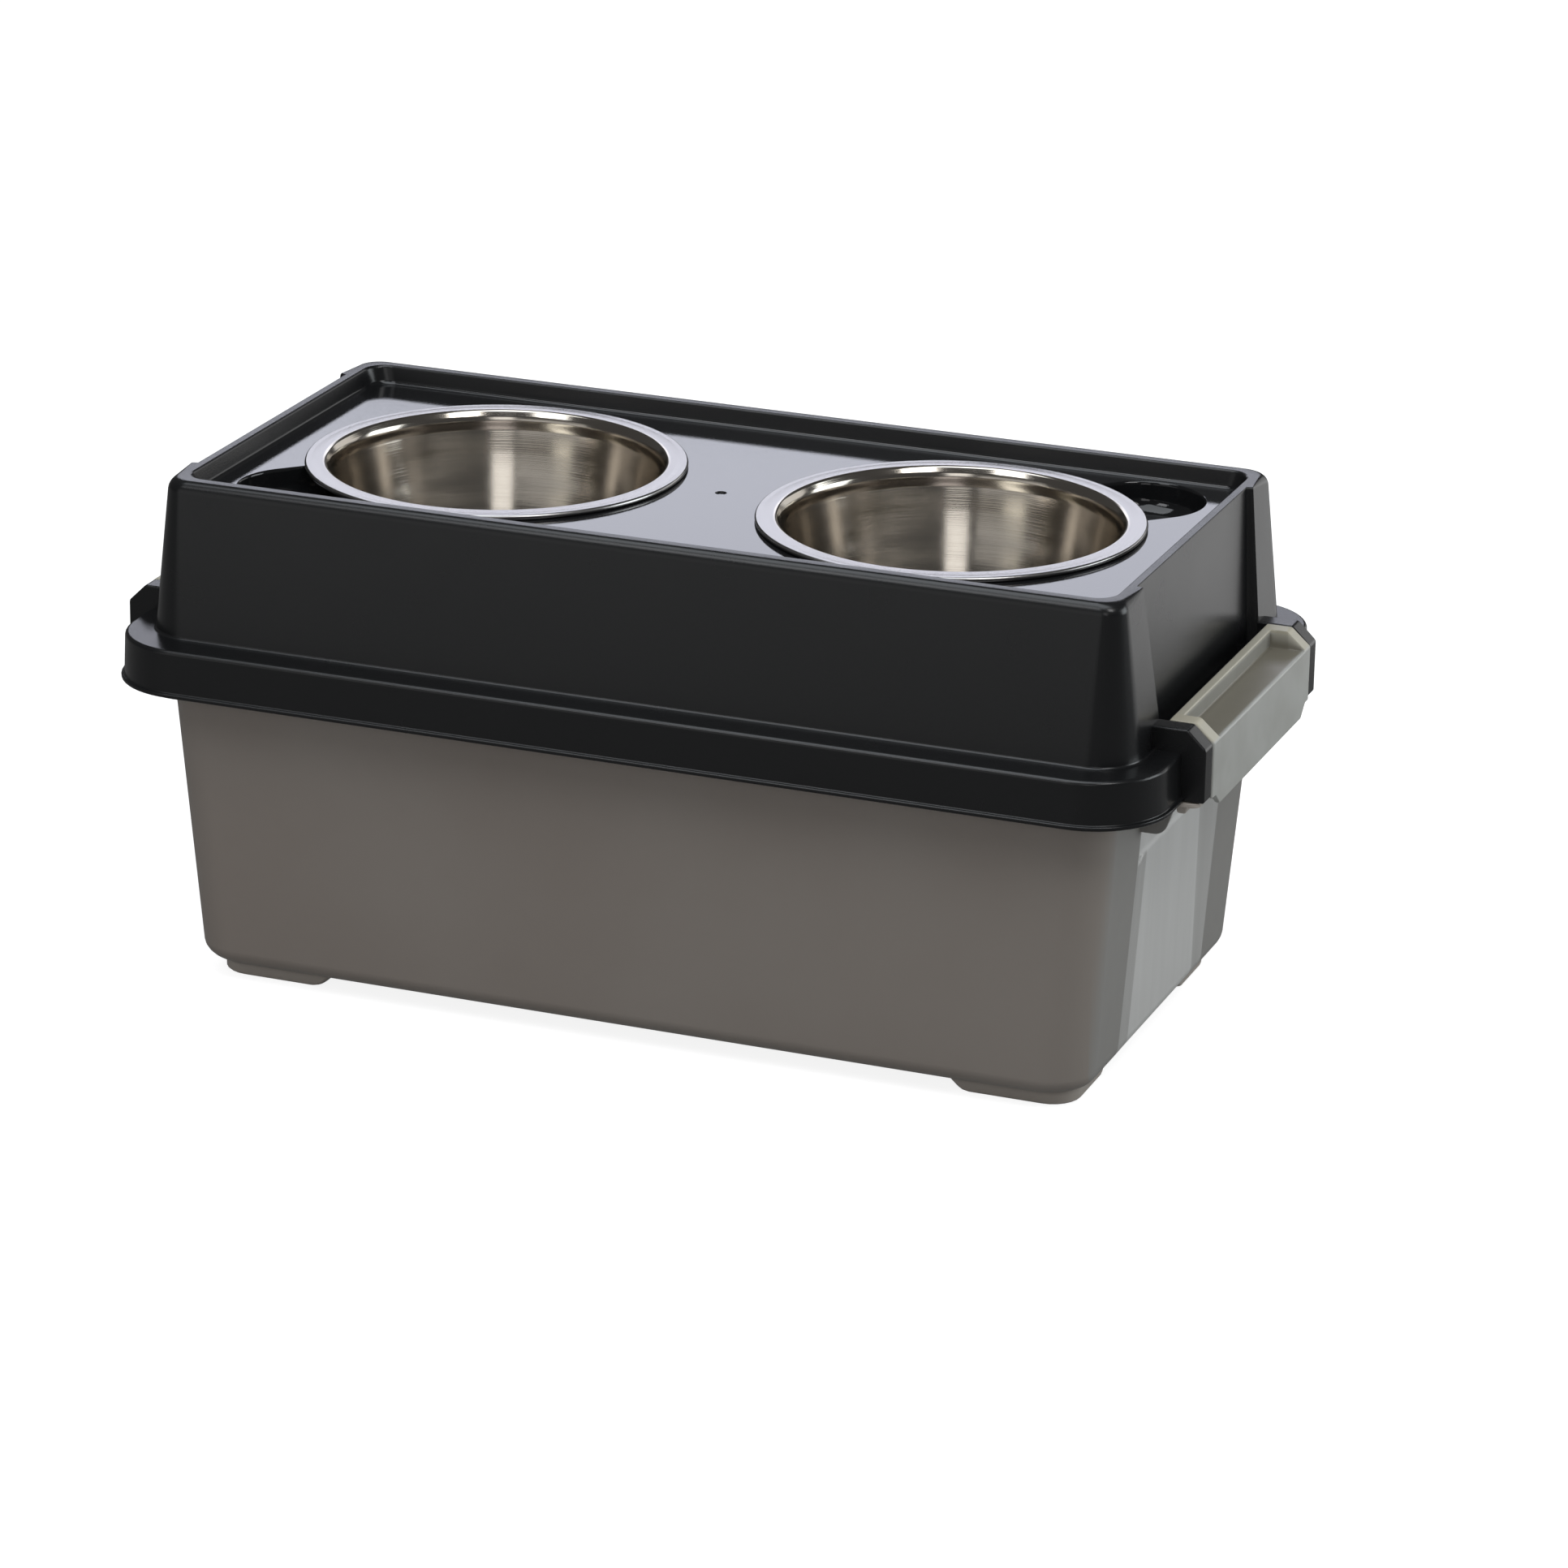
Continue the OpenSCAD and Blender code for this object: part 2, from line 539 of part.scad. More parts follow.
tub();
lid();
well_left();
well_right();
lid_gasket();
bowl_left();
bowl_right();
latch_left();
latch_right();
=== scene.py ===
import math

import bpy
import numpy as np
from mathutils import Matrix, Vector


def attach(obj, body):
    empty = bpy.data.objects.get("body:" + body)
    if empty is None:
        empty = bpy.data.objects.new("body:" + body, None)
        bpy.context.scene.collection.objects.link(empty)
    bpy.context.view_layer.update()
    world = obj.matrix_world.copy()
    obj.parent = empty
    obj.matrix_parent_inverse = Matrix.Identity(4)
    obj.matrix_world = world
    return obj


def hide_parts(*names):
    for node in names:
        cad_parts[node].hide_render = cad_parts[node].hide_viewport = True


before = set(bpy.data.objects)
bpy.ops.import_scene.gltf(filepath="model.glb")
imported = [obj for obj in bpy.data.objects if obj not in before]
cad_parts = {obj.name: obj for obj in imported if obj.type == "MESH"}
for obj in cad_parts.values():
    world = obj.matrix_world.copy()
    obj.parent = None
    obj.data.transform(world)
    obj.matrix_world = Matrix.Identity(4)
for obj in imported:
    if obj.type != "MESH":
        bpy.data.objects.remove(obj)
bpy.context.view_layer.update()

# The stage on which the feeder stands: a pale floor, a white surround and soft
# lamps, and a camera that looks from the front right, a little above the tray.
MM = 0.001
FLOOR_TONE = 0.34
FLOOR_GLOW = 0.86
FLOOR_SHINE = 0.18
SKY_LIGHT = 0.33
SKY_SEEN = 1.0
SKY_DIMMING = 0.25
scene = bpy.context.scene
scene.view_settings.view_transform = "Standard"


class Value:
    """A number in a shader. Sums, products and powers of it add Math nodes."""

    def __init__(self, paint, socket):
        self.paint = paint
        self.socket = socket

    def maths(self, operation, *others):
        return self.paint.node("ShaderNodeMath", {"operation": operation}, [self, *others])

    def __add__(self, other):
        return self.maths("ADD", other)

    def __sub__(self, other):
        return self.maths("SUBTRACT", other)

    def __rsub__(self, other):
        return self.paint.node("ShaderNodeMath", {"operation": "SUBTRACT"}, [other, self])

    def __mul__(self, other):
        return self.maths("MULTIPLY", other)

    def __pow__(self, other):
        return self.maths("POWER", other)

    def __abs__(self):
        return self.maths("ABSOLUTE")

    __radd__ = __add__
    __rmul__ = __mul__

    def rise(self, low, high):
        """Smooth step from 0 at the low value to 1 at the high one."""
        settings = {"interpolation_type": "SMOOTHSTEP"}
        inputs = {"Value": self, "From Min": low, "From Max": high}
        return self.paint.node("ShaderNodeMapRange", settings, inputs)


class Paint:
    """A material: one principled surface and the nodes that feed it."""

    def __init__(self, name, **sockets):
        self.material = bpy.data.materials.new(name)
        self.material.use_nodes = True
        self.tree = self.material.node_tree
        self.surface = self.tree.nodes["Principled BSDF"]
        self.set(**sockets)

    def set(self, **sockets):
        for name, value in sockets.items():
            self.put(self.surface.inputs[name.replace("_", " ")], value)

    def put(self, socket, value):
        if isinstance(value, Value):
            self.tree.links.new(value.socket, socket)
        else:
            socket.default_value = value

    def node(self, kind, settings=None, inputs=(), output=0):
        """Adds a node: its settings first, then the values or links of its sockets."""
        made = self.tree.nodes.new(kind)
        for key, value in (settings or {}).items():
            setattr(made, key, value)
        pairs = inputs.items() if isinstance(inputs, dict) else enumerate(inputs)
        for key, value in pairs:
            self.put(made.inputs[key], value)
        return Value(self, made.outputs[output])

    def place(self):
        """The point on the piece, in metres, and its three coordinates."""
        point = self.node("ShaderNodeTexCoord", output="Object")
        split = [self.node("ShaderNodeSeparateXYZ", None, [point], axis) for axis in "XYZ"]
        return point, *split

    def noise(self, point, scale, detail=2.0):
        inputs = {"Vector": point, "Scale": scale, "Detail": detail}
        return self.node("ShaderNodeTexNoise", None, inputs, "Fac")

    def blend(self, factor, first, second):
        """Mix of two colours."""
        return self.node("ShaderNodeMix", {"data_type": "RGBA"}, {0: factor, 6: first, 7: second}, 2)

    def bump(self, height, strength, distance=0.0002):
        inputs = {"Height": height, "Strength": strength, "Distance": distance}
        return self.node("ShaderNodeBump", None, inputs, "Normal")


def stage_floor():
    """A wide flat square under the feeder: pale for the camera, with the feeder's
    shadow on it, and dimmer where a shiny surface mirrors it."""
    side = 8.0
    mesh = bpy.data.meshes.new("floor")
    corners = [(-side, -side, 0), (side, -side, 0), (side, side, 0), (-side, side, 0)]
    mesh.from_pydata(corners, [], [(0, 1, 2, 3)])
    floor = bpy.data.objects.new("floor", mesh)
    scene.collection.objects.link(floor)
    paint = Paint("floor", Base_Color=(FLOOR_TONE, FLOOR_TONE, FLOOR_TONE, 1), Roughness=0.9)
    paint.surface.inputs["Specular IOR Level"].default_value = 0.0
    seen = paint.node("ShaderNodeLightPath", output="Is Camera Ray")
    glossy = paint.node("ShaderNodeLightPath", output="Is Glossy Ray")
    paint.set(Emission_Color=(1, 1, 1, 1))
    glow = paint.node("ShaderNodeEmission", None, {"Strength": seen * FLOOR_GLOW}, "Emission")
    dim = paint.node("ShaderNodeEmission", None, {"Strength": FLOOR_SHINE}, "Emission")
    links = paint.tree.links
    both = paint.tree.nodes.new("ShaderNodeAddShader")
    links.new(paint.surface.outputs[0], both.inputs[0])
    links.new(glow.socket, both.inputs[1])
    mixed = paint.tree.nodes.new("ShaderNodeMixShader")
    links.new(glossy.socket, mixed.inputs[0])
    links.new(both.outputs[0], mixed.inputs[1])
    links.new(dim.socket, mixed.inputs[2])
    links.new(mixed.outputs[0], paint.tree.nodes["Material Output"].inputs["Surface"])
    mesh.materials.append(paint.material)


stage_floor()

world = bpy.data.worlds.new("surround")
scene.world = world
world.use_nodes = True
sky = world.node_tree
sky_path = sky.nodes.new("ShaderNodeLightPath")
sky_level = sky.nodes.new("ShaderNodeMapRange")
sky_level.inputs["To Min"].default_value = SKY_LIGHT
sky_level.inputs["To Max"].default_value = SKY_SEEN
sky.links.new(sky_path.outputs["Is Camera Ray"], sky_level.inputs["Value"])
sky_shine = sky.nodes.new("ShaderNodeMath")
sky_shine.operation = "MULTIPLY_ADD"
sky_shine.inputs[1].default_value = -SKY_DIMMING
sky.links.new(sky_path.outputs["Is Glossy Ray"], sky_shine.inputs[0])
sky.links.new(sky_level.outputs[0], sky_shine.inputs[2])
sky.links.new(sky_shine.outputs[0], sky.nodes["Background"].inputs["Strength"])
sky.nodes["Background"].inputs["Color"].default_value = (1, 1, 1, 1)


def softbox(name, place, target, size, watts, colour=(1, 1, 1)):
    """A flat rectangular lamp at a place, turned to face its target."""
    lamp = bpy.data.lights.new(name, "AREA")
    lamp.shape = "RECTANGLE"
    lamp.size, lamp.size_y = size
    lamp.energy = watts
    lamp.color = colour
    thing = bpy.data.objects.new(name, lamp)
    thing.location = place
    thing.rotation_euler = (Vector(target) - Vector(place)).to_track_quat("-Z", "Y").to_euler()
    scene.collection.objects.link(thing)


softbox("lamp_behind", (-0.85, 2.20, 1.07), (0, 0, 0.2), (1.6, 0.46), 6.0, (0.86, 0.88, 1.0))
softbox("lamp_right_behind", (1.15, 2.30, 0.62), (0, 0, 0.2), (1.5, 1.1), 5.0)
softbox("lamp_above", (-0.20, -0.35, 2.20), (0, 0, 0.2), (1.8, 1.4), 24, (0.90, 0.95, 1.0))
softbox("lamp_left_high", (-0.80, -1.75, 2.10), (0, 0, 0.15), (0.85, 0.8), 9, (0.95, 0.97, 1.0))
softbox("lamp_right_high", (1.41, -1.22, 2.22), (0, 0, 0.15), (0.8, 0.8), 15)
softbox("lamp_right", (2.35, 0.90, 0.75), (0, 0, 0.12), (1.3, 1.3), 21, (0.94, 1.0, 1.03))
softbox("lamp_front", (0.78, -2.50, 1.05), (0, 0, 0.15), (0.75, 0.9), 3.4)
softbox("card_front", (-0.50, -1.30, 0.36), (-0.1, 0.0, 0.19), (1.3, 0.7), 1.5)
softbox("card_right_behind", (0.52, 0.50, 0.12), (0.22, 0.0, 0.19), (0.55, 0.22), 0.3)

azimuth, elevation, roll = np.radians([21.03, 19.90, 0.86])
reach = math.cos(elevation)
back = Vector((math.sin(azimuth) * reach, -math.cos(azimuth) * reach, math.sin(elevation)))
level = Vector((math.cos(azimuth), math.sin(azimuth), 0))
upward = back.cross(level)
right = level * math.cos(roll) + upward * math.sin(roll)
above = upward * math.cos(roll) - level * math.sin(roll)
lens = bpy.data.cameras.new("camera")
lens.lens = 142.04
lens.sensor_width = 36.0
lens.clip_end = 50.0
camera = bpy.data.objects.new("camera", lens)
stand = (0.9488, -2.3863, 1.0152)
camera.matrix_world = Matrix([(right[k], above[k], back[k], stand[k]) for k in range(3)] + [(0, 0, 0, 1)])
scene.collection.objects.link(camera)
scene.camera = camera

# The tub: one injection moulding in smoky grey translucent plastic, with leaning
# walls, a flange and a rim that stands up under the gasket, a panel set back in
# each end wall, and four L-shaped feet cored out from inside.
HANDLE = 0.5523


def rounded_rings(rows, corner=14):
    """Rings of a rounded rectangle, one for each row of half length, half width,
    height, corner radius, recess depth, recess half width and slope width. The
    corners are quarter circles, and over the recess each end wall steps back by
    its depth on a smooth cubic step."""
    a, b, z, r, depth, half, slope = (column[:, None] for column in rows.T)
    s = np.linspace(0, 1, 9)[None, :]
    t = np.radians(np.linspace(0, 90, corner + 1))[None, :]
    near = np.stack([a - depth * s * s * (3 - 2 * s), -half - slope * (1 - s)], -1)
    arc = np.stack([a - r + r * np.cos(t), b - r + r * np.sin(t)], -1)
    side = np.concatenate([arc[:, ::-1] * [1, -1], near, near[:, ::-1] * [1, -1], arc], 1)
    ring = np.concatenate([side, side[:, ::-1] * [-1, 1]], 1)
    return np.concatenate([ring, np.broadcast_to(z[..., None], ring.shape[:2] + (1,))], 2)


def soften(path, cuts, steps=6, closed=False, by=(0, 1)):
    """Rounds the corners of a path. Each corner gives way to a cubic curve that
    starts and ends the cut's length away from it, with its handles 0.55 of the
    way to the corner, as on a quarter circle. Lengths are taken over the columns
    in `by`."""
    path = np.asarray(path, float)
    here = path if closed else path[1:-1]
    before = np.roll(path, 1, 0) if closed else path[:-2]
    after = np.roll(path, -1, 0) if closed else path[2:]
    cut = np.asarray(cuts, float)[..., None]
    ends = []
    for other in (before, after):
        length = np.linalg.norm((other - here)[..., list(by)], axis=-1, keepdims=True)
        ends.append(here + (other - here) * np.minimum(cut / np.maximum(length, 1e-6), 0.49))
    first, last = ends
    t = np.linspace(0, 1, steps + 1).reshape(-1, *[1] * (path.ndim - 1))
    p0, p3, c = first[:, None], last[:, None], here[:, None]
    p1, p2 = p0 + HANDLE * (c - p0), p3 + HANDLE * (c - p3)
    curve = (1 - t) ** 3 * p0 + 3 * (1 - t) ** 2 * t * p1 + 3 * (1 - t) * t ** 2 * p2 + t ** 3 * p3
    curve = curve.reshape(-1, *path.shape[1:])
    return curve if closed else np.concatenate([path[:1], curve, path[-1:]])


def solid(name, grid):
    """Closed solid over a grid of points (rows, points around, x y z) in
    millimetres: four-sided faces between the rows, and a face over each end."""
    m, n = grid.shape[:2]
    index = np.arange(m * n).reshape(m, n)
    low, high = index[:-1], index[1:]
    quads = np.stack([low, np.roll(low, -1, 1), np.roll(high, -1, 1), high], -1).reshape(-1, 4)
    covers = [index[0, ::-1].tolist(), index[-1].tolist()]
    points = grid.reshape(-1, 3)
    mesh = bpy.data.meshes.new(name)
    mesh.from_pydata((points * MM).tolist(), [], quads.tolist() + covers)
    corners = points[quads]
    facing = np.cross(corners[:, 1] - corners[:, 0], corners[:, 3] - corners[:, 0])
    if np.sum(facing * (corners[:, 0] - points.mean(0))) < 0:
        mesh.flip_normals()
    thing = bpy.data.objects.new(name, mesh)
    scene.collection.objects.link(thing)
    return thing


def slab(name, outline, low, high, edge=0.8, axis=1):
    """Flat piece with rounded edges: an outline in the plane across the axis,
    drawn out from low to high. Near both faces the outline shrinks along its own
    normals by the edge radius, on a quarter circle."""
    after = np.roll(outline, -1, 0)
    tangent = after - np.roll(outline, 1, 0)
    normal = np.stack([tangent[:, 1], -tangent[:, 0]], 1) / np.linalg.norm(tangent, axis=1)[:, None]
    if np.sum(outline[:, 0] * after[:, 1] - outline[:, 1] * after[:, 0]) < 0:
        normal = -normal
    turn = np.radians(np.linspace(0, 90, 5))
    inset = edge * (1 - np.sin(turn))
    depth = edge * (1 - np.cos(turn))
    inset = np.concatenate([inset, inset[::-1]])
    height = np.concatenate([low + depth, high - depth[::-1]])
    plane = outline[None] - normal[None] * inset[:, None, None]
    level = np.broadcast_to(height[:, None, None], plane.shape[:2] + (1,))
    return solid(name, np.insert(plane, axis, level[..., 0], axis=2))


def combine(base, tools, operation):
    """Joins the tools to a solid, or cuts them from it, for good."""
    group = bpy.data.collections.new("tools")
    scene.collection.children.link(group)
    for tool in tools:
        group.objects.link(tool)
    change = base.modifiers.new("combine", "BOOLEAN")
    change.operand_type = "COLLECTION"
    change.collection = group
    change.operation = operation
    change.solver = "EXACT"
    graph = bpy.context.evaluated_depsgraph_get()
    mesh = bpy.data.meshes.new_from_object(base.evaluated_get(graph))
    base.modifiers.clear()
    base.data = mesh
    for tool in tools:
        bpy.data.objects.remove(tool)
    bpy.data.collections.remove(group)


def mirrored(thing, name, flips):
    """A copy of a solid with its X or Y turned over, and its faces turned back."""
    mesh = thing.data.copy()
    mesh.transform(Matrix.Diagonal((*flips, 1, 1)))
    if flips[0] * flips[1] < 0:
        mesh.flip_normals()
    copy = bpy.data.objects.new(name, mesh)
    scene.collection.objects.link(copy)
    return copy


def four_quarters(thing):
    """A solid and its copies in the other three quarters."""
    others = ((-1, 1), (1, -1), (-1, -1))
    return [thing] + [mirrored(thing, thing.name + "_copy", flips) for flips in others]


def finish_piece(thing, paint, slot, body, *nodes, sharp=38):
    """Smooth shading with sharp edges past an angle, the paint, and the body."""
    mesh = thing.data
    mesh.polygons.foreach_set("use_smooth", np.ones(len(mesh.polygons), bool))
    mesh.set_sharp_from_angle(angle=math.radians(sharp))
    mesh.materials.clear()
    mesh.materials.append(paint.material)
    weighted = thing.modifiers.new("flat_faces_first", "WEIGHTED_NORMAL")
    weighted.keep_sharp = True
    weighted.weight = 80
    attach(thing, body)
    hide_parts(*nodes)


TUB_BASE = 7.2
TUB_RISE = 130.7
PANEL_RISE = 91.0
PANEL_TOP = 97.6
RECESS_LOW = 100.2
FLANGE_LOW = 136.0
FLANGE_TOP = 137.9
RIM_TOP = 153.0
TUB_WALL = 2.0


def tub_row(z, inset=0.0, low=True):
    """Half length, half width and so on of the leaning wall at a height. Over the
    tub's rise the half length grows by 9.2 and the half width by 7.5. The end
    panel sinks in evenly up to the finger recess, where it steps back."""
    rise = (z - TUB_BASE) / TUB_RISE
    up = (z - TUB_BASE) / PANEL_RISE
    side = 13.0 + 8.0 * up if low else 3.0
    out = 58.1 if low else 57.0
    depth = 2.6 * up if low else 3.6
    return (207.2 + 9.2 * rise - inset, 106.365 + 7.5 * rise - inset, z, 20.0 - inset,
            depth, out - side + 0.4 * inset, side)


TUB_ROWS = np.array([
    (180.0, 80.0, TUB_BASE, 10.0, 0.0, 45.1, 13.0),
    tub_row(TUB_BASE),
    tub_row(PANEL_TOP),
    tub_row(RECESS_LOW, low=False),
    tub_row(FLANGE_LOW, low=False),
    (233.5, 125.07, FLANGE_LOW, 29.4, 0.0, 54.0, 3.0),
    (233.5, 125.07, FLANGE_TOP, 29.4, 0.0, 54.0, 3.0),
    (231.55, 120.9, FLANGE_TOP, 26.4, 0.0, 54.0, 3.0),
    (231.55, 120.9, RIM_TOP, 26.4, 0.0, 54.0, 3.0),
    (229.35, 118.7, RIM_TOP, 24.2, 0.0, 54.0, 3.0),
    (229.35, 118.7, FLANGE_TOP, 24.2, 0.0, 54.0, 3.0),
    tub_row(FLANGE_TOP, TUB_WALL, low=False),
    tub_row(RECESS_LOW, TUB_WALL, low=False),
    tub_row(PANEL_TOP, TUB_WALL),
    tub_row(TUB_BASE + TUB_WALL, TUB_WALL),
    (180.0, 80.0, TUB_BASE + TUB_WALL, 10.0, 0.0, 45.1, 13.0)])
TUB_CUTS = (8.2, 0.8, 0.8, 1.2, 0.5, 0.5, 0.6, 0.7, 0.7, 0.6, 0.8, 0.8, 0.8, 6.2)


def foot_rings(grow, low, high, edge):
    """Rings of an L-shaped foot, grown outwards by an amount. The outer corner is
    a quarter circle, and the two arms grow longer towards the tub on an S-shaped
    slope: height follows a cubic smooth step while length grows evenly. The last
    ring stands above the rest, so that the foot reaches into the tub's floor."""
    u = np.linspace(0, 1, 11)
    z = low + (high - low) * u * u * (3 - 2 * u)
    shrink = edge * (1 - np.sqrt(1 - np.clip(1 - (z - low) / max(edge, 0.01), 0, 1) ** 2)) - grow
    x1, y1 = 200.0 - shrink, 95.5 - shrink
    xi, yi = 181.0 + shrink, 76.5 + shrink
    x0, y0 = 152.0 + shrink - 12 * u, 55.5 + shrink - 12 * u
    rings = []
    for k in range(len(u)):
        corners = [(xi[k], yi[k]), (xi[k], y0[k]), (x1[k], y0[k]),
                   (x1[k], y1[k]), (x0[k], y1[k]), (x0[k], yi[k])]
        line = soften(corners, (5, 3, 3, 13, 3, 3), closed=True)
        rings.append(np.column_stack([line, np.full(len(line), z[k])]))
    rings.append(rings[-1] + [0, 0, 1.2])
    return np.stack(rings)


tub = solid("tub_moulding", rounded_rings(soften(TUB_ROWS, TUB_CUTS, by=(0, 2))))
web_line = soften([(213.8, 114.4), (224.6, 114.4), (228.3, 124.5), (231.4, 136.4), (213.8, 136.4)],
                  (0.8, 4, 4, 1.2, 0.8), closed=True)
tab_line = soften([(236, 132.4), (240, 132.4), (240.4, 136.4), (235.6, 136.4)], 1.1, closed=True)
pad_line = soften([(229.6, 69.2), (246, 69.2), (246, 80), (229.6, 80)], (0.5, 1, 4, 0.5), closed=True)
shelf_line = soften([(229.6, -66.2), (243.34, -66.2), (243.34, 66.2), (229.6, 66.2)], 0.6, closed=True)
shelf = slab("shelf", shelf_line, FLANGE_LOW, FLANGE_TOP, 0.4, axis=2)
added = [shelf, mirrored(shelf, "shelf_copy", (-1, 1))]
added += four_quarters(slab("pad", pad_line, FLANGE_LOW, FLANGE_TOP, 0.4, axis=2))
added += four_quarters(slab("web", web_line, 57.2, 59.2, 0.4))
added += four_quarters(slab("tab", tab_line, 72.0, 78.0, 0.7))
added += four_quarters(solid("foot", foot_rings(0.0, 0.0, TUB_BASE, 1.2)))
combine(tub, added, "UNION")
combine(tub, four_quarters(solid("core", foot_rings(-2.0, 2.0, 9.4, 0.8))), "DIFFERENCE")

# The painted light on the tub's ends lies on the outer faces of the end walls alone:
# a lighter panel for the light that falls on and through the translucent ends,
# lighter still on its flat middle, with painted reflection streaks drawn down it.
# `wall` is their half length at a height, as in tub_row, but in metres.
smoke = Paint("smoky_plastic", IOR=1.46)
point, x, y, z = smoke.place()
cloud = smoke.noise(point, 7.0, 3.0)
tone = smoke.blend(cloud.rise(0.3, 0.7), (0.208, 0.181, 0.159, 1), (0.226, 0.202, 0.180, 1))
recess = z.rise(0.0975, 0.1000)
wall = 0.20669 + 0.0704 * z - 0.0286 * (z - 0.0072) * (1 - recess) - 0.0036 * recess
outer = (abs(x) - wall).rise(-0.0013, -0.0008) * (1 - z.rise(0.1340, 0.1352))
ends = abs(x).rise(0.1985, 0.2045) * (1 - abs(y).rise(0.0890, 0.1020)) * outer
sunk = 1 - abs(y).rise(0.0575, 0.0583)
flat = 1 - (abs(y) + 0.0879 * z).rise(0.0450, 0.0465) * (1 - z.rise(0.0975, 0.0990))
drawn_down = smoke.node("ShaderNodeCombineXYZ", None, [0.0, y + 0.05 * z, z * 0.06])
painted_reflection_streaks = smoke.noise(drawn_down, 110.0)
# Painted light: the sunk panel is lightened, more on its flat middle, with painted reflection streaks.
painted_end_light = smoke.blend(0.42 * sunk + 0.40 * sunk * flat + 0.26 * (painted_reflection_streaks - 0.5) * sunk,
                       (0.226, 0.220, 0.208, 1), (0.540, 0.540, 0.528, 1))
tone = smoke.blend(ends, tone, painted_end_light)
low = 1 - z.rise(0.0035, 0.0085)
shelves = abs(x).rise(0.2336, 0.2346) * (1 - z.rise(0.1378, 0.1382)) * z.rise(0.1300, 0.1310)
# Painted shade: from just under the flange upwards, the tub's colour is drawn six tenths of the way to near
# black, for the shadow under the lid's lip.
tone = smoke.blend(0.6 * z.rise(0.1352, 0.1364), tone, (0.070, 0.062, 0.056, 1))
smoke.set(Base_Color=smoke.blend(low + shelves, tone, (0.36, 0.325, 0.290, 1)))
smoke.set(Roughness=0.34 + 0.1 * smoke.noise(point, 60.0))
smoke.set(Normal=smoke.bump(smoke.noise(point, 1400.0), 0.05))
finish_piece(tub, smoke, "tub_plastic", "tub", "tub")

# The gasket: a soft extruded ring pressed into the roof of the lid's ledge. It
# keeps its solid shape and gets a dull silicone skin.
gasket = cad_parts["lid_gasket"]
soft_ring = Paint("soft_ring", Base_Color=(0.5, 0.51, 0.51, 1), Roughness=0.65)
point, x, y, z = soft_ring.place()
soft_ring.set(Roughness=0.6 + 0.15 * soft_ring.noise(point, 120.0))
soft_ring.set(Normal=soft_ring.bump(soft_ring.noise(point, 900.0), 0.12))
gasket.data.materials.clear()
gasket.data.materials.append(soft_ring.material)

# The lid: one black moulding. A skirt with a beaded lip drops round the tub, a
# ledge carries the box, and the box ends in a rim round a polished tray with two
# wells for the bowls and a finger scoop beside each.
BOWL_CENTRE = 106.25
SCOOP_CENTRE = 92.0
PIVOT = (231.54, 162.7)
LIP_LOW = 138.4
LEDGE_LOW = 157.2
LEDGE_TOP = 159.2
TRAY_LOW = 217.6
TRAY_TOP = 219.6
BOX_TOP = 227.84
LID_ROWS = np.array([
    (190.0, 76.0, TRAY_LOW, 8.0, 0.0, 80.0, 5.0),
    (210.1, 96.4, TRAY_LOW, 10.0, 0.0, 80.0, 5.0),
    (211.8, 98.0, BOX_TOP - 4.0, 11.0, 0.0, 80.0, 5.0),
    (216.4, 103.4, BOX_TOP - 4.0, 8.0, 2.7, 76.0, 1.2),
    (223.9, 111.06, LEDGE_LOW, 18.4, 5.5, 68.4, 1.2),
    (235.4, 126.97, LEDGE_LOW, 31.3, 0.0, 80.0, 5.0),
    (236.3, 127.87, LIP_LOW, 32.2, 0.0, 80.0, 5.0),
    (239.5, 131.065, LIP_LOW, 35.4, 0.0, 80.0, 5.0),
    (239.5, 131.065, LIP_LOW + 1.7, 35.4, 0.0, 80.0, 5.0),
    (238.1, 129.7, LIP_LOW + 2.0, 34.0, 0.0, 80.0, 5.0),
    (237.4, 128.97, LEDGE_TOP, 33.3, 0.0, 80.0, 5.0),
    (228.6, 115.8, LEDGE_TOP, 23.1, 5.5, 67.3, 1.2),
    (225.5, 112.665, LEDGE_TOP, 20.0, 5.5, 67.3, 1.2),
    (217.55, 104.715, BOX_TOP, 9.0, 2.6, 74.8, 1.2),
    (210.75, 96.6, BOX_TOP, 10.0, 0.0, 80.0, 5.0),
    (208.3, 95.3, TRAY_TOP, 9.5, 0.0, 80.0, 5.0),
    (190.0, 77.0, TRAY_TOP, 8.0, 0.0, 80.0, 5.0)])
LID_CUTS = (1.5, 0.8, 0.8, 0.8, 1.2, 0.5, 0.6, 0.5, 0.4, 1.8, 0.3, 1.2, 5.0, 1.2, 1.9)


def turned(name, profile, around=144, centre=0.0):
    """Solid of revolution: a profile of radius and height carried round Z, its
    ends closed, and set at a place along X."""
    profile = np.asarray(profile, float)
    turn = np.linspace(0, 2 * np.pi, around, endpoint=False)
    r, z = profile[:, 0, None], profile[:, 1, None]
    grid = np.stack([centre + r * np.cos(turn), r * np.sin(turn), z + 0 * turn], -1)
    return solid(name, grid)


def scoop_form(name, profile):
    """Slot with a round end, its half width and height taken from a profile. It
    runs from the middle of the well along the diagonal to the scoop's centre."""
    profile = np.asarray(profile, float)
    turn = np.radians(np.linspace(-90, 90, 37))
    r, z = profile[:, 0, None], profile[:, 1, None]
    tip = np.stack([SCOOP_CENTRE + r * np.cos(turn), r * np.sin(turn), z + 0 * turn], -1)
    foot = np.concatenate([0 * r, r, z], 1)[:, None]
    grid = np.concatenate([foot * [1, -1, 1], tip, foot], 1)
    c = math.sqrt(0.5)
    spin = np.array([[c, -c, 0], [c, c, 0], [0, 0, 1]])
    return solid(name, grid @ spin.T + [BOWL_CENTRE, 0, 0])


def wells_and_scoops(well_profile, scoop_profile):
    """The right-hand well and its scoop, and the same two turned half round."""
    pair = [turned("well", well_profile, centre=BOWL_CENTRE), scoop_form("scoop", scoop_profile)]
    return pair + [mirrored(thing, thing.name + "_copy", (-1, -1)) for thing in pair]


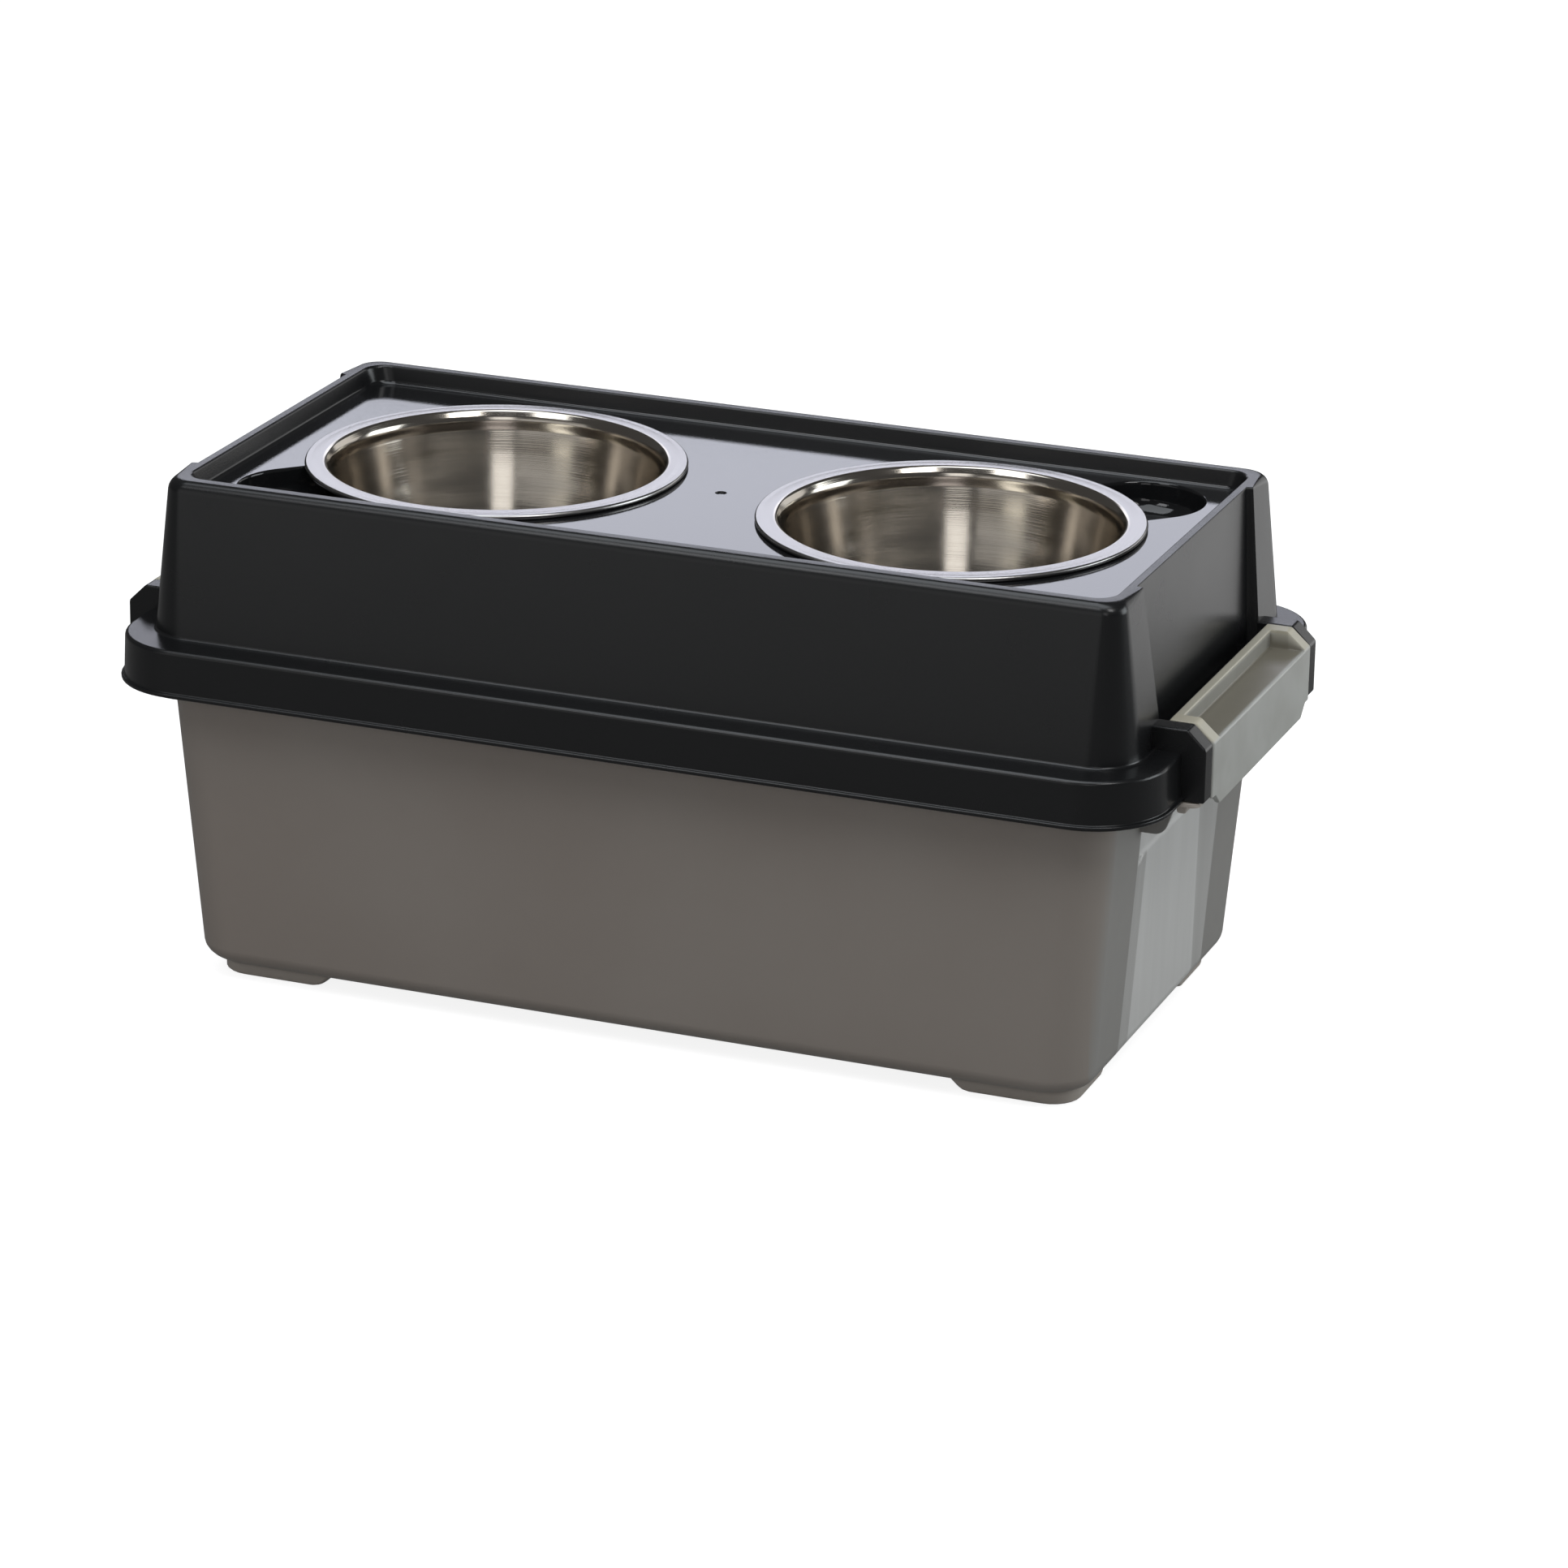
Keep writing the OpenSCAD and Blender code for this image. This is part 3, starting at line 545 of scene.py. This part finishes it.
def circle(centre, radius):
    """Outline of a circle as forty points."""
    turn = np.linspace(0, 2 * np.pi, 40, endpoint=False)
    return np.column_stack([centre[0] + radius * np.cos(turn), centre[1] + radius * np.sin(turn)])


# The box's rim has a wide rounding, and a crisp one over the sunk field at each end.
rim = 12
lid_rings = rounded_rings(LID_ROWS)
lid_cuts = np.repeat(np.array(LID_CUTS)[:, None], lid_rings.shape[1], 1)
lid_cuts[rim, np.abs(lid_rings[rim + 1, :, 1]) < 76.5] = 0.8
lid = solid("lid_moulding", soften(lid_rings, lid_cuts, by=(0, 1, 2)))
well_out = soften([(2, 154.1), (66.1, 154.1), (77, 207.7), (79, 212.7), (79, 218.6)], (8, 2, 2))
well_in = soften([(2, 156.1), (64.1, 156.1), (75, 207.7), (77, 212.7), (77, 219.63),
                  (78.4, 219.63), (78.4, 222)], (8, 2, 2, 1.2, 0.05))
scoop_out = soften([(6, 203.6), (26.5, 203.6), (29, 218.6)], (9.5,))
scoop_in = soften([(4, 205.6), (24.9, 205.6), (27, 219.63), (28.6, 219.63), (28.6, 222)], (9.5, 1.5, 0.05))
ear_line = soften([(219.0, 158.4), (237.0, 158.4), (237.0, 138.2), (248.0, 138.2),
                   (248.0, 161.6), (239.8, 169.6), (219.0, 169.6)],
                  (1.2, 1.0, 1.0, 1.0, 0.9, 0.9, 1.2), closed=True)
added = four_quarters(slab("ear", ear_line, 69.3, 79.0, 0.8))
added += wells_and_scoops(well_out, scoop_out)
combine(lid, added, "UNION")
gate = turned("gate", [(1.0, 218.9), (2.4, 218.9), (2.7, 219.9), (0.8, 219.9)], 48)
cuts = wells_and_scoops(well_in, scoop_in)
cuts += four_quarters(slab("bore", circle(PIVOT, 2.26), 68.3, 75.1, 0.05)) + [gate]
combine(lid, cuts, "DIFFERENCE")

satin = Paint("black_plastic", Base_Color=(0.0065, 0.0068, 0.0073, 1), IOR=1.45)
point, x, y, z = satin.place()
inside = (1 - abs(x).rise(0.2108, 0.2116)) * (1 - abs(y).rise(0.0967, 0.0975)) * z.rise(0.1550, 0.1560)
inside = inside * (1 - z.rise(0.2204, 0.2212))
satin.set(Roughness=(0.24 + 0.05 * satin.noise(point, 40.0)) * (1 - inside) + 0.06 * inside)
satin.set(Normal=satin.bump(satin.noise(point, 1500.0), 0.08))
finish_piece(lid, satin, "lid_plastic", "lid", "lid", "well_left", "well_right")

# The two bowls: spun stainless steel, each with a rolled bead under a flat rim, a
# bevel and a short throat inside it, a wall that narrows downwards in a slight
# bulge, and a rounded bottom. They drop into the wells and hang by their rims.
bowl_inside = soften([(1.0, 160.1), (55.0, 160.1), (62.5, 176.0), (69.6, 198.0), (72.6, 212.4), (73.0, 214.2),
                      (73.0, 218.6), (75.2, 222.15), (79.8, 222.2), (83.3, 221.9)],
                     (6.0, 8.0, 7.0, 2.0, 1.4, 1.6, 0.9, 2.4), steps=10)
turn = np.radians(np.linspace(70, -200, 22))
bead = np.column_stack([83.0 + 1.3 * np.cos(turn), 220.9 + 1.3 * np.sin(turn)])
bowl_outside = soften([(81.4, 221.4), (75.2, 221.3), (74.1, 214.0), (73.4, 212.2), (70.4, 197.8),
                       (63.3, 175.7), (55.5, 159.3), (1.0, 159.3)], (2.3, 0.8, 1.2, 7.0, 8.0, 6.4), steps=8)
bowl_profile = np.concatenate([bowl_inside[:-1], bead, bowl_outside])

steel = Paint("spun_steel", Metallic=1.0)
point, x, y, z = steel.place()
side = abs(x) - BOWL_CENTRE * MM
radius = (side * side + y * y) ** 0.5
rings = steel.node("ShaderNodeCombineXYZ", None, [radius, z, 0.0])
lathe = steel.noise(rings, 2600.0, 3.0)
smear = steel.noise(rings, 160.0)
flat_rim = radius.rise(0.0752, 0.0768)
steel.set(Base_Color=steel.blend(flat_rim, (0.50, 0.460, 0.405, 1), (0.41, 0.400, 0.395, 1)))
steel.set(Roughness=(0.11 + 0.06 * smear) * (1 - flat_rim) + 0.26 * flat_rim)
steel.set(Normal=steel.bump(lathe, 0.22, 0.0001))


def bowl(name, centre, node):
    """One bowl: the profile carried round its own axis."""
    thing = turned(name, bowl_profile, 180, centre)
    finish_piece(thing, steel, "bowl_steel", node, node, sharp=50)


bowl("bowl_left_spun", -BOWL_CENTRE, "bowl_left")
bowl("bowl_right_spun", BOWL_CENTRE, "bowl_right")

# The two clips: mouldings in the tub's grey, lighter where they catch the light.
# Each has an open pocket along its top, solid ends that turn on pins between the
# ears, a face that drops past the ledge, and a nose beside the tub's end shelf.
CLIP_OUT = 248.54
CLIP_IN = 228.54
CLIP_THIN = 246.24
CLIP_THICK = 240.2
CLIP_TOP = 169.7
POCKET_LOW = 159.7
CLIP_HALF = 68.8
CLIP_EDGE = 0.9


def clip_rings(stations):
    """Sections of a clip across its length, one ring for each station along Y.
    Twelve corners of the section move between the pocket's shape and the solid
    end's shape on smooth steps of the station, and are then rounded."""
    d = np.abs(stations)

    def step(low, high):
        s = np.clip((d - low) / (high - low), 0, 1)
        return s * s * (3 - 2 * s)

    cap, wall, bare = step(60.0, 61.3), step(65.6, 66.6), step(54.0, 55.2)
    low = 131.9 + 5.4 * np.clip((d - 58.0) / 6.0, 0, 1)
    tip = 243.64 + 2.6 * bare
    tip = tip + (CLIP_THICK - tip) * wall
    hollow = CLIP_THIN + (CLIP_THICK - CLIP_THIN) * wall
    one = np.ones_like(d)
    corners = [
        (tip, low), (CLIP_OUT * one, low), (CLIP_OUT * one, 162.0 * one),
        (240.3 - 0.4 * cap, 162.0 + 7.7 * cap), (232.5 + 3.5 * cap, 162.0 + 7.7 * cap),
        (232.5 * one, CLIP_TOP * one), (CLIP_IN * one, CLIP_TOP * one), (CLIP_IN * one, 161.9 * one),
        (231.5 * one, POCKET_LOW * one), (hollow, POCKET_LOW * one),
        (hollow, low + 4.0 - 2.0 * bare), (tip, low + 2.4 - 1.2 * bare)]
    path = np.stack([np.stack(corner, -1) for corner in corners], 1)
    cuts = (0.7, 0.7, 0.8, 0.9, 1.0, 0.7, 0.7, 1.6, 1.6, 0.8, 0.8, 0.6)
    rings = np.stack([soften(section, cuts, steps=4, closed=True) for section in path])
    return np.insert(rings, 1, stations[:, None], axis=2)


def clip_form():
    """The clip at the right-hand end, its ends drawn in on a quarter circle."""
    spans = ((0, 53.5, 8), (54, 55.2, 6), (57.5, 59.9, 4), (60, 61.3, 9), (62, 65.5, 4), (65.6, 66.6, 6))
    inner = np.concatenate([np.linspace(*span) for span in spans] + [[67.2]])
    turn = np.radians(np.linspace(0, 90, 6))
    ends = CLIP_HALF - CLIP_EDGE + CLIP_EDGE * np.sin(turn)
    stations = np.concatenate([inner, ends])
    stations = np.concatenate([-stations[::-1], stations[1:]])
    grid = clip_rings(stations)
    tangent = np.roll(grid, -1, 1) - np.roll(grid, 1, 1)
    normal = np.stack([tangent[..., 2], 0 * tangent[..., 0], -tangent[..., 0]], -1)
    normal /= np.linalg.norm(normal, axis=-1, keepdims=True) + 1e-9
    over = np.clip((np.abs(stations) - CLIP_HALF + CLIP_EDGE) / CLIP_EDGE, 0, 1)
    inset = CLIP_EDGE * (1 - np.sqrt(1 - over ** 2))
    return grid - normal * inset[:, None, None]


clip = solid("latch_right_moulding", clip_form())
pin = slab("pin", circle(PIVOT, 2.2), 67.5, 74.8, 0.4)
combine(clip, [pin, mirrored(pin, "pin_copy", (1, -1))], "UNION")

pearl = Paint("clip_plastic", IOR=1.46)
point, x, y, z = pearl.place()
veil = pearl.noise(point, 45.0)
tone = pearl.blend(veil.rise(0.3, 0.7), (0.320, 0.322, 0.300, 1), (0.365, 0.370, 0.350, 1))
middle = 1 - abs(y).rise(0.0603, 0.0612)
pocket = middle * abs(x).rise(0.2322, 0.2328) * (1 - abs(x).rise(0.2462, 0.2480)) * z.rise(0.1600, 0.1606)
pocket = pocket * (1 - z.rise(0.1672, 0.1690))
top = z.rise(0.1680, 0.1692) + (1 - middle) * z.rise(0.1615, 0.1630)
# Painted shade: the clip's open pocket is darkened towards a dark brown.
tone = pearl.blend(pocket, tone, (0.150, 0.138, 0.108, 1))
pearl.set(Base_Color=pearl.blend(0.8 * top, tone, (0.385, 0.360, 0.285, 1)))
pearl.set(Roughness=0.34 + 0.1 * pearl.noise(point, 80.0))
pearl.set(Normal=pearl.bump(pearl.noise(point, 1400.0), 0.05))
other = mirrored(clip, "latch_left_moulding", (-1, 1))
finish_piece(clip, pearl, "clip_plastic", "latch_right", "latch_right")
finish_piece(other, pearl, "clip_plastic", "latch_left", "latch_left")
